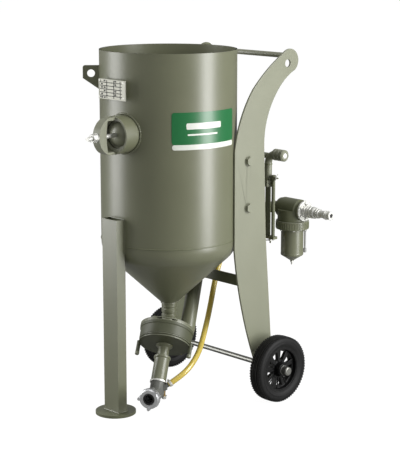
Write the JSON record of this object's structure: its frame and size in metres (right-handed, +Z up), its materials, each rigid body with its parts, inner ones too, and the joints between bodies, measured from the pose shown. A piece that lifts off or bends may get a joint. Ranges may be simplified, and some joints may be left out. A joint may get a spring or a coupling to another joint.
{
  "type": "abrasive blast pot",
  "caption": "Wheeled pressure vessel for abrasive blasting: open hopper top, cone base, metering valve, hose coupling, moisture separator, side-plate frame with handle bar and front leg.",
  "frame": {"origin": "middle of the footprint's bounding box on the floor, on the frame's mid-plane", "axes": "+Z up along the vessel, +Y from the front leg to the wheels, +X to the side with the air inlet"},
  "size_m": [0.724, 0.9885, 1.315],
  "materials": {
    "paint": "semi-gloss powder coat",
    "light_paint": "semi-gloss powder coat",
    "dark_paint": "semi-gloss powder coat",
    "grey_metal": "satin",
    "popup_rubber": "satin",
    "rubber": "matte",
    "zinc": "bright zinc plate",
    "steel": "ground",
    "casting": "bright plated casting",
    "plate_metal": "satin",
    "label_green": "gloss film",
    "tyre": "matte",
    "wheel_plastic": "moulded",
    "nylon": "moulded",
    "hose": "translucent",
    "brass": "satin"
  },
  "bodies": {
    "pot": {"tank_shell": "paint", "upper_head": "paint", "lower_head": "dark_paint", "outlet_socket": "paint", "popup_seat": "rubber", "standpipe": "paint", "handway_neck": "paint", "lifting_lug": "paint", "plate_bracket": "paint", "data_plate": "plate_metal", "label_panel": "label_green", "front_leg": "paint", "foot_disc": "paint", "right_side_plate": "light_paint", "left_side_plate": "light_paint", "plate_bosses": "paint", "plate_bolts": "light_paint", "handle_bar": "light_paint", "cross_brace": "dark_paint", "axle": "steel", "axle_spacers": "zinc", "hub_caps": "zinc", "valve_cover": "paint", "valve_housing": "dark_paint", "cutoff_cylinder": "paint", "valve_outlet": "paint", "coupling_tee": "grey_metal", "claw_coupling": "casting", "coupling_gasket": "rubber", "pusher_hose": "hose", "hose_clamps": "zinc", "pusher_choke": "brass", "pusher_pipe": "zinc", "inlet_valve": "dark_paint", "exhaust_pipe": "dark_paint", "exhaust_silencer": "grey_metal", "control_tubes": "dark_paint", "separator_head": "dark_paint", "separator_bowl": "paint", "sight_tube": "nylon", "inlet_coupling": "zinc"},
    "left_wheel": {"left_tyre": "tyre", "left_rim": "wheel_plastic", "left_bush": "nylon"},
    "right_wheel": {"right_tyre": "tyre", "right_rim": "wheel_plastic", "right_bush": "nylon"},
    "popup": {"popup_valve": "popup_rubber"},
    "adjuster": {"adjuster_ring": "dark_paint", "metering_gate": "steel"},
    "cutoff": {"cutoff_piston": "steel"},
    "handway_door": {"handway_cover": "dark_paint", "handway_gasket": "rubber"},
    "crab": {"handway_crab": "light_paint"},
    "crab_nut": {"handway_nut": "zinc"},
    "choke": {"choke_lever": "zinc"},
    "plunger": {"inlet_plunger": "steel"},
    "upper_cock": {"upper_wing": "zinc"},
    "lower_cock": {"lower_wing": "zinc"},
    "drain": {"separator_drain": "zinc"}
  },
  "joints": [
    {"name": "left_wheel_spin", "type": "hinge", "parent": "pot", "child": "left_wheel", "pos_m": [-0.304, 0.2085, 0.125], "axis": [1, 0, 0], "continuous": true},
    {"name": "right_wheel_spin", "type": "hinge", "parent": "pot", "child": "right_wheel", "pos_m": [0.304, 0.2085, 0.125], "axis": [1, 0, 0], "continuous": true},
    {"name": "popup_lift", "type": "slide", "parent": "pot", "child": "popup", "axis": [0, 0, 1], "range_m": [0, 0.022]},
    {"name": "adjuster_turn", "type": "hinge", "parent": "pot", "child": "adjuster", "pos_m": [0, -0.0635, 0.316], "axis": [0.3519, -0.5217, -0.7771], "range_deg": [0, 40]},
    {"name": "cutoff_stroke", "type": "slide", "parent": "pot", "child": "cutoff", "axis": [-0.3519, 0.5217, 0.7771], "range_m": [0, 0.03]},
    {"name": "handway_cover_open", "type": "slide", "parent": "pot", "child": "handway_door", "axis": [-0.1564, 0.9877, 0], "range_m": [0, 0.05]},
    {"name": "crab_lift", "type": "slide", "parent": "pot", "child": "crab", "axis": [0.1564, -0.9877, 0], "range_m": [0, 0.015]},
    {"name": "crab_nut_turn", "type": "hinge", "parent": "crab", "child": "crab_nut", "pos_m": [0, -0.0635, 1.032], "axis": [0.1564, -0.9877, 0], "continuous": true},
    {"name": "choke_turn", "type": "hinge", "parent": "pot", "child": "choke", "pos_m": [0, 0.2145, 0.625], "axis": [-1, 0, 0], "range_deg": [0, 90]},
    {"name": "inlet_plunger_stroke", "type": "slide", "parent": "pot", "child": "plunger", "axis": [0, 0, 1], "range_m": [0, 0.012]},
    {"name": "upper_cock_turn", "type": "hinge", "parent": "pot", "child": "upper_cock", "pos_m": [0.158, 0.3365, 0.815], "axis": [1, 0, 0], "range_deg": [0, 90]},
    {"name": "lower_cock_turn", "type": "hinge", "parent": "pot", "child": "lower_cock", "pos_m": [0.133, 0.3365, 0.577], "axis": [0, 0, -1], "range_deg": [0, 90]},
    {"name": "drain_turn", "type": "hinge", "parent": "pot", "child": "drain", "pos_m": [0.159, 0.4305, 0.482], "axis": [0, 0, -1], "range_deg": [0, 360]}
  ]
}
